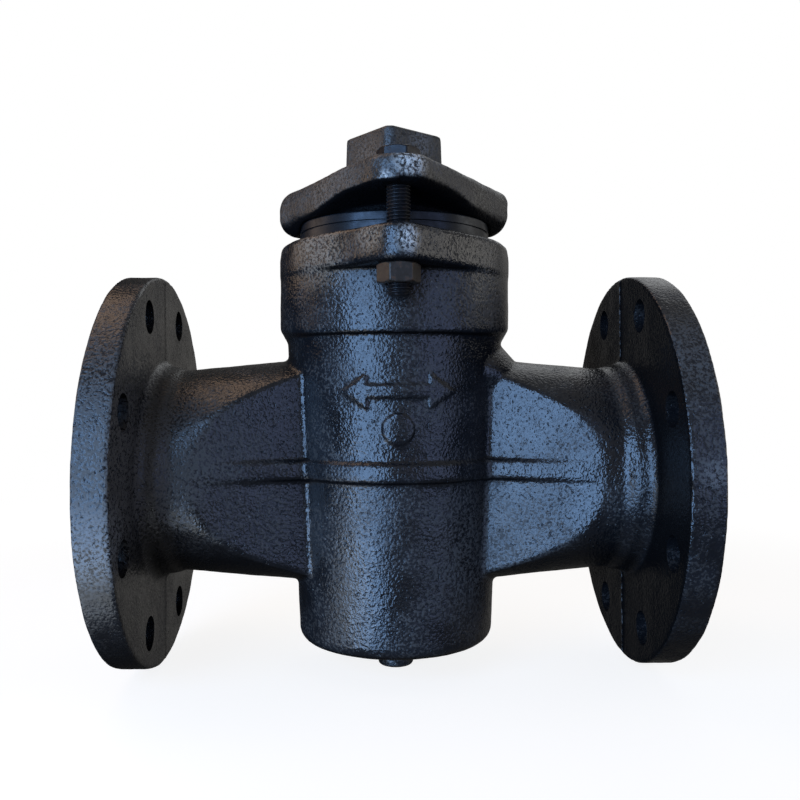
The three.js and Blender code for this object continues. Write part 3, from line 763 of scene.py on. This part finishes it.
def mark_machined(body):
    """Gives the raised faces, the ball pocket, the seat and the stuffing box the second material."""
    centres = np.array([p.center for p in body.data.polygons]) / MM - np.array([0, 0, CROSSING_HEIGHT])
    r_plug = np.hypot(centres[:, 0], centres[:, 1])
    r_flow = np.hypot(centres[:, 1], centres[:, 2])
    cavity_r = np.where(centres[:, 2] > BOX_BOTTOM, BOX_R + 1.6, plug_radius(centres[:, 2]) + 1.0)
    raised = (np.abs(centres[:, 0]) > RIM_X + 0.6) & (r_flow > BORE_R + 0.5)
    bored = (r_plug < cavity_r) & (centres[:, 2] > POCKET_LOW - 1)
    body.data.polygons.foreach_set("material_index", (raised | bored).astype(np.int32))


def make_body():
    reach = FLANGE_R + 1
    low, high = (-FACE_X, -reach, -reach), (FACE_X, reach, BARREL_TOP + 1)
    body = field_object("body_casting", body_field, low, high, VOXEL)
    roughen(body, 0.22, 0.07)
    thin_to(body, 170000)
    boolean(body, [make_raised_face(side) for side in (-1, 1)], "UNION")
    screw_hole = drill(SCREW_HOLE_R, BARREL_BOTTOM - 2, POCKET_LOW + 2, segments=48)
    cutters = [barrel_cavity(), passage_cutter(FACE_X + 1, 40), screw_hole]
    for side in (-1, 1):
        low_x, high_x = sorted((side * (FLANGE_BACK_X - 12), side * (FACE_X + 1)))
        for i in range(8):
            angle = (i + 0.5) * math.pi / 4
            hole = drill(FLANGE_HOLE_R, low_x, high_x, along_x=True, segments=48)
            hole.location = (0, BOLT_CIRCLE_R * MM * math.cos(angle), BOLT_CIRCLE_R * MM * math.sin(angle))
            cutters.append(hole)
        cutters.append(drill(CLEARANCE_R, LUG_LOW - 2, BARREL_TOP + 2, y=side * BOLT_Y, segments=48))
    boolean(body, cutters)
    finish_piece(body, "valve_body", "body", "cast_body", body_paint, turned_faces)
    mark_machined(body)


def make_plug():
    limit = PLUG_R_TOP + 1
    low, high = (-limit, -limit, PLUG_LOW), (limit, limit, HEAD_TOP)
    plug = field_object("plug_casting", plug_field, low, high, 0.8 * VOXEL)
    thin_to(plug, 90000)
    boolean(plug, [passage_cutter(PLUG_R_TOP + 4, 2)])
    finish_piece(plug, "plug", "plug", "cast_plug", plug_paint, machined)
    heights = np.array([p.center.z for p in plug.data.polygons]) / MM - CROSSING_HEIGHT
    plug.data.polygons.foreach_set("material_index", (heights < STEM_TOP - 1.6).astype(np.int32))


def make_gland():
    low, high = (-66, -89, GLAND_SIDE_LOW), (66, 89, GLAND_HIGH)
    gland = field_object("gland_plate", gland_field, low, high, 0.7 * VOXEL)
    roughen(gland, 0.3, 0.12)
    cutters = [lathe_object("bore", [
        (0, GLAND_SIDE_LOW - 1), (GLAND_BORE_R, GLAND_SIDE_LOW - 1), (GLAND_BORE_R, GLAND_HIGH - 1.2),
        (GLAND_BORE_R + 2, GLAND_HIGH + 0.8), (0, GLAND_HIGH + 0.8),
    ], 128)]
    for side in (-1, 1):
        cutters.append(drill(CLEARANCE_R, GLAND_EAR_LOW - 2, GLAND_HIGH + 1, y=side * BOLT_Y, segments=48))
        cutters.append(drill(SPOT_FACE_R, BOLT_SEAT, GLAND_HIGH + 2, y=side * BOLT_Y))
    boolean(gland, cutters)
    finish_piece(gland, "gland", "gland", "cast_gland", gland_paint)


def make_follower():
    low, high, outer, inner = FOLLOWER_LOW, FOLLOWER_HIGH, FOLLOWER_R, FOLLOWER_BORE_R
    step = high - 5.3
    ring = lathe_object("follower_ring", [
        (inner, low + 0.5), (inner + 0.5, low), (outer - 0.6, low), (outer, low + 0.6),
        (outer, step - 0.6), (outer - 0.9, step - 0.3), (outer - 0.9, step + 0.3), (outer, step + 0.6),
        (outer, high - 1.0), *arc(outer - 1.0, high - 1.0, 1.0, 15, 90, 4),
        (inner + 0.5, high), (inner, high - 0.5),
    ], 192)
    finish_piece(ring, "gland_follower", "gland", "machined_ring", follower_iron)


def thread_object(name, radius, pitch, low, high, centre=(0.0, 0.0), around=48, per_pitch=10):
    """A right-hand thread with chamfered ends, as one closed mesh."""
    depth = 0.58 * pitch
    rows = int(round((high - low) / pitch * per_pitch))
    heights = np.linspace(low, high, rows + 1)
    angles = np.arange(around) * 2 * math.pi / around
    phase = (heights[:, None] / pitch - angles[None, :] / (2 * math.pi)) % 1.0
    crest = np.clip(1.35 * (1 - np.abs(2 * phase - 1)) - 0.12, 0.0, 1.0)
    radii = radius - depth + depth * crest
    end = np.minimum(heights - low, high - heights)[:, None]
    radii = np.minimum(radii, radius - depth - 0.2 + end * 1.0)
    grid = np.stack([
        radii * np.cos(angles) + centre[0],
        radii * np.sin(angles) + centre[1],
        np.broadcast_to(heights[:, None], radii.shape),
    ], axis=-1).reshape(-1, 3)
    points = np.vstack([grid, [[*centre, low], [*centre, high]]])
    faces = []
    for i in range(rows):
        for k in range(around):
            a, b = i * around + k, i * around + (k + 1) % around
            faces.append((a, b, b + around, a + around))
    bottom, top, last = len(grid), len(grid) + 1, rows * around
    for k in range(around):
        faces.append((bottom, (k + 1) % around, k))
        faces.append((top, last + k, last + (k + 1) % around))
    return mesh_object(name, points, faces)


def make_gland_bolt(where, y):
    bolt = thread_object(f"bolt_{where}", BOLT_R, BOLT_PITCH, BOLT_TIP, BOLT_SEAT + 1, (0.0, y))
    field = hexagon_field(BOLT_FLATS, BOLT_SEAT, BOLT_HEAD_TOP, False, BOLT_HEAD_TURN)
    head = field_object("head", field, (-12, -12, BOLT_SEAT), (12, 12, BOLT_HEAD_TOP), 0.35, (0.0, y))
    boolean(bolt, [head], "UNION")
    finish_piece(bolt, f"gland_bolt_{where}", f"{where}_bolt", "black_bolt", thread_steel, angle=50)


def make_nut(name, node, flats, low, high, bore, y=0.0, turn=0.0):
    field, reach = hexagon_field(flats, low, high, turn=turn), 0.6 * flats
    nut = field_object(name, field, (-reach, -reach, low), (reach, reach, high), flats / 52, (0.0, y))
    hole = lathe_object("hole", [
        (0, low - 1), (bore + 1.6, low - 1), (bore, low + 0.8),
        (bore, high - 0.8), (bore + 1.6, high + 1), (0, high + 1),
    ], 48, centre=(0.0, y))
    boolean(nut, [hole])
    finish_piece(nut, node, "body", "painted_nut", nut_steel)


def make_bottom_screw():
    radius, neck = SCREW_R, SCREW_LOW + 9
    screw = thread_object("adjusting_screw", radius, SCREW_PITCH, neck - 1, SCREW_TIP, around=64)
    rounded = arc(radius - 2, SCREW_LOW + 2, 2, -90, 0)
    nub = lathe_object("nub", [(0, SCREW_LOW), *rounded, (radius, neck), (0, neck)], 96)
    boolean(screw, [nub], "UNION")
    slot = build_object("slot", [
        (x * 15, y * 1.5, SCREW_LOW + z * 3) for x in (-1, 1) for y in (-1, 1) for z in (-1, 1)
    ], [(0, 1, 3, 2), (4, 6, 7, 5), (0, 4, 5, 1), (2, 3, 7, 6), (0, 2, 6, 4), (1, 5, 7, 3)])
    boolean(screw, [slot])
    finish_piece(screw, "bottom_screw", "screw", "black_bolt", body_paint, angle=50)


def make_packing():
    """Square-braided rings: a rounded square section with slanting strands pressed into its surface."""
    inner, outer = STEM_R + RING_GAP, BOX_R - RING_GAP
    for number in range(1, 5):
        node = f"packing_ring_{number}"
        low, high = node_range(node, 2)
        half_r, half_z = (outer - inner) / 2, (high - low) / 2
        around, section = 288, 48
        theta = (np.arange(around) * 2 * math.pi / around)[:, None]
        s = (np.arange(section) * 2 * math.pi / section)[None, :]
        power = 7.0
        reach = (np.abs(np.cos(s)) ** power + np.abs(np.sin(s)) ** power) ** (-1 / power)
        strands = np.abs(np.sin(24 * theta + 4 * s)) * np.abs(np.sin(24 * theta - 4 * s))
        shrink = 1.0 - 0.045 * (1 - strands)
        radius = (inner + outer) / 2 + half_r * np.cos(s) * reach * shrink
        height = (low + high) / 2 + half_z * np.sin(s) * reach * shrink
        points = np.stack([radius * np.cos(theta), radius * np.sin(theta), height + 0 * theta], -1)
        points = points.reshape(-1, 3)
        index = np.arange(around * section).reshape(around, section)
        right, up = np.roll(index, -1, 0), np.roll(index, -1, 1)
        faces = np.stack([index, right, np.roll(right, -1, 1), up], -1).reshape(-1, 4)
        ring = build_object(f"braid_{number}", points, outward(points, faces))
        finish_piece(ring, node, "body", "packing", graphite)
        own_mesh(ring)


def make_washer(name, node, inner, material, slot):
    low, high = node_range(node, 2)
    outer = node_range(node, 0)[1]
    edge = 0.25
    washer = lathe_object(name, [
        (inner, low + edge), (inner + edge, low), (outer - edge, low), (outer, low + edge),
        (outer, high - edge), (outer - edge, high), (inner + edge, high), (inner, high - edge),
    ], 128)
    finish_piece(washer, node, "body", slot, material)


def make_ball():
    low, high = node_range("thrust_ball", 2)
    radius, centre = (high - low) / 2, (high + low) / 2
    ball = lathe_object("ball", [(0, low), *arc(0, centre, radius, -85, 85, 34), (0, high)], 72)
    finish_piece(ball, "thrust_ball", "ball", "bare_steel", ball_steel)


make_body()
make_plug()
make_gland()
make_follower()
for where, side in (("front", -1), ("rear", 1)):
    make_gland_bolt(where, side * BOLT_Y)
    make_nut(f"nut_{where}", f"gland_nut_{where}", BOLT_FLATS, NUT_LOW, NUT_HIGH, NUT_BORE_R,
             side * BOLT_Y, NUT_TURN)
make_bottom_screw()
lock_low, lock_high = node_range("bottom_lock_nut", 2)
make_nut("lock_nut", "bottom_lock_nut", LOCK_NUT_FLATS, lock_low, lock_high, LOCK_NUT_BORE_R)
make_packing()
make_washer("base_washer", "packing_base_washer", STEM_R + RING_GAP, washer_steel, "bare_steel")
make_washer("seal_washer", "bottom_seal_washer", SCREW_HOLE_R, copper, "soft_washer")
make_ball()


# ------------------------------------------------------------------ stage, light and camera
def make_floor():
    """A large pale floor under the valve, clear when it is looked at from below."""
    size, level = 6.0, -0.0005
    corners = [(x * size, y * size, level) for x, y in ((-1, -1), (1, -1), (1, 1), (-1, 1))]
    mesh = bpy.data.meshes.new("floor")
    mesh.from_pydata(corners, [], [(0, 1, 2, 3)])
    floor = new_object("floor", mesh)
    m = Nodes("floor_paper")
    fade = m.near((0.0, 0.0, -CROSSING_HEIGHT), 900.0)
    near_tone = m.mix(m.noise(400.0, 2.0), (0.30, 0.30, 0.30), (0.34, 0.34, 0.34))
    m.done(color=m.mix(fade, (0.0, 0.0, 0.0), near_tone), rough=0.9, specular=0.0)
    m.shader.inputs["Emission Color"].default_value = (1, 1, 1, 1)
    m.link(m.ramp(fade, 0.0, 1.0, 1.0, 0.85), m.shader.inputs["Emission Strength"])
    clear = m.tree.nodes.new("ShaderNodeBsdfTransparent")
    either = m.tree.nodes.new("ShaderNodeMixShader")
    m.link(m.tree.nodes.new("ShaderNodeNewGeometry").outputs["Backfacing"], either.inputs[0])
    m.link(m.shader.outputs[0], either.inputs[1])
    m.link(clear.outputs[0], either.inputs[2])
    m.link(either.outputs[0], m.tree.nodes["Material Output"].inputs["Surface"])
    floor.data.materials.append(m.material)
    floor.visible_glossy = False
    floor.visible_diffuse = False
    floor.visible_shadow = False


def make_panel(name, azimuth, elevation, distance, width, height, color, radiance):
    """A soft panel that faces the valve. Azimuth 0 is in front of it, and 90 is on its right."""
    light = bpy.data.lights.new(name, "AREA")
    light.shape = "RECTANGLE"
    light.size, light.size_y = width, height
    light.color = color
    light.energy = radiance * math.pi * width * height
    panel = new_object(name, light)
    panel.visible_camera = False
    a, e = math.radians(azimuth), math.radians(elevation)
    target = Vector((0, 0, CROSSING_HEIGHT * MM))
    away = Vector((math.sin(a) * math.cos(e), -math.cos(a) * math.cos(e), math.sin(e)))
    panel.location = target + away * distance
    panel.rotation_euler = (-away).to_track_quat("-Z", "Y").to_euler()


def make_world():
    """White behind the valve. Its reflections see a dim room, darkest at the back left and below."""
    world = bpy.data.worlds.new("studio")
    bpy.context.scene.world = world
    world.use_nodes = True
    tree = world.node_tree
    background = tree.nodes["Background"]
    seen = tree.nodes.new("ShaderNodeBackground")
    seen.inputs["Color"].default_value = (1, 1, 1, 1)
    seen.inputs["Strength"].default_value = 1.0
    background.inputs["Color"].default_value = (0.8, 0.78, 0.75, 1)
    direction = tree.nodes.new("ShaderNodeTexCoord")
    axes = tree.nodes.new("ShaderNodeSeparateXYZ")
    tree.links.new(direction.outputs["Generated"], axes.inputs[0])
    ramps = []
    for axis, low, high, start, end in (
        ("X", -0.45, 0.25, -0.92, 0.0), ("Y", 0.0, 0.5, 0.0, 1.0), ("Z", -0.5, 0.0, 0.08, 0.27),
    ):
        node = tree.nodes.new("ShaderNodeMapRange")
        node.interpolation_type = "SMOOTHSTEP"
        tree.links.new(axes.outputs[axis], node.inputs["Value"])
        for socket, number in zip(("From Min", "From Max", "To Min", "To Max"), (low, high, start, end)):
            node.inputs[socket].default_value = number
        ramps.append(node.outputs["Result"])
    side = tree.nodes.new("ShaderNodeMath")
    strength = tree.nodes.new("ShaderNodeMath")
    side.operation, strength.operation = "MULTIPLY_ADD", "MULTIPLY"
    side.inputs[2].default_value = 1.0
    tree.links.new(ramps[0], side.inputs[0])
    tree.links.new(ramps[1], side.inputs[1])
    tree.links.new(side.outputs[0], strength.inputs[0])
    tree.links.new(ramps[2], strength.inputs[1])
    tree.links.new(strength.outputs[0], background.inputs["Strength"])
    ray = tree.nodes.new("ShaderNodeLightPath")
    mix = tree.nodes.new("ShaderNodeMixShader")
    tree.links.new(ray.outputs["Is Camera Ray"], mix.inputs["Fac"])
    tree.links.new(background.outputs[0], mix.inputs[1])
    tree.links.new(seen.outputs[0], mix.inputs[2])
    tree.links.new(mix.outputs[0], tree.nodes["World Output"].inputs["Surface"])


def make_camera():
    """The viewing angle of a hand-held picture taken from in front, a little above the flow axis.

    It was fitted to the flange holes and rims, with the rims' diameter, thickness and spacing held.
    """
    x, y, z = -14.08, -488.06, 45.09
    pan, tilt, roll = -0.0256, 0.0103, 0.004
    data = bpy.data.cameras.new("camera")
    data.lens = 38.49
    data.sensor_width = 36.0
    data.shift_x, data.shift_y = 0.0101, -0.0257
    data.clip_start, data.clip_end = 0.01, 50.0
    camera = new_object("camera", data)
    turn = Matrix.Rotation(pan, 4, "Z") @ Matrix.Rotation(tilt, 4, "X") @ Matrix.Rotation(roll, 4, "Y")
    place = Matrix.Translation((x * MM, y * MM, (z + CROSSING_HEIGHT) * MM))
    camera.matrix_world = place @ turn @ Matrix.Rotation(math.pi / 2, 4, "X")
    bpy.context.scene.camera = camera


make_floor()
make_world()
make_panel("sky_left", -32, 3, 1.5, 0.95, 1.7, (0.30, 0.55, 1.0), 6.5)
make_panel("sky_right", 42, 5, 1.6, 0.9, 1.2, (0.35, 0.5, 1.0), 1.1)
make_panel("ground_left", -48, -25, 0.25, 0.16, 0.12, (0.85, 0.93, 1.0), 1.6)
make_panel("warm_left", -104, 12, 1.5, 0.8, 1.0, (1.0, 0.72, 0.5), 1.1)
make_panel("warm_top", -110, 60, 1.6, 1.0, 1.0, (1.0, 0.68, 0.46), 1.4)
make_panel("soft_right", 95, 10, 1.6, 0.8, 1.0, (1.0, 0.97, 0.92), 1.05)
make_panel("soft_back", 160, 35, 1.7, 1.3, 0.9, (0.92, 0.96, 1.0), 0.55)
make_camera()
bpy.context.scene.view_settings.view_transform = "Standard"
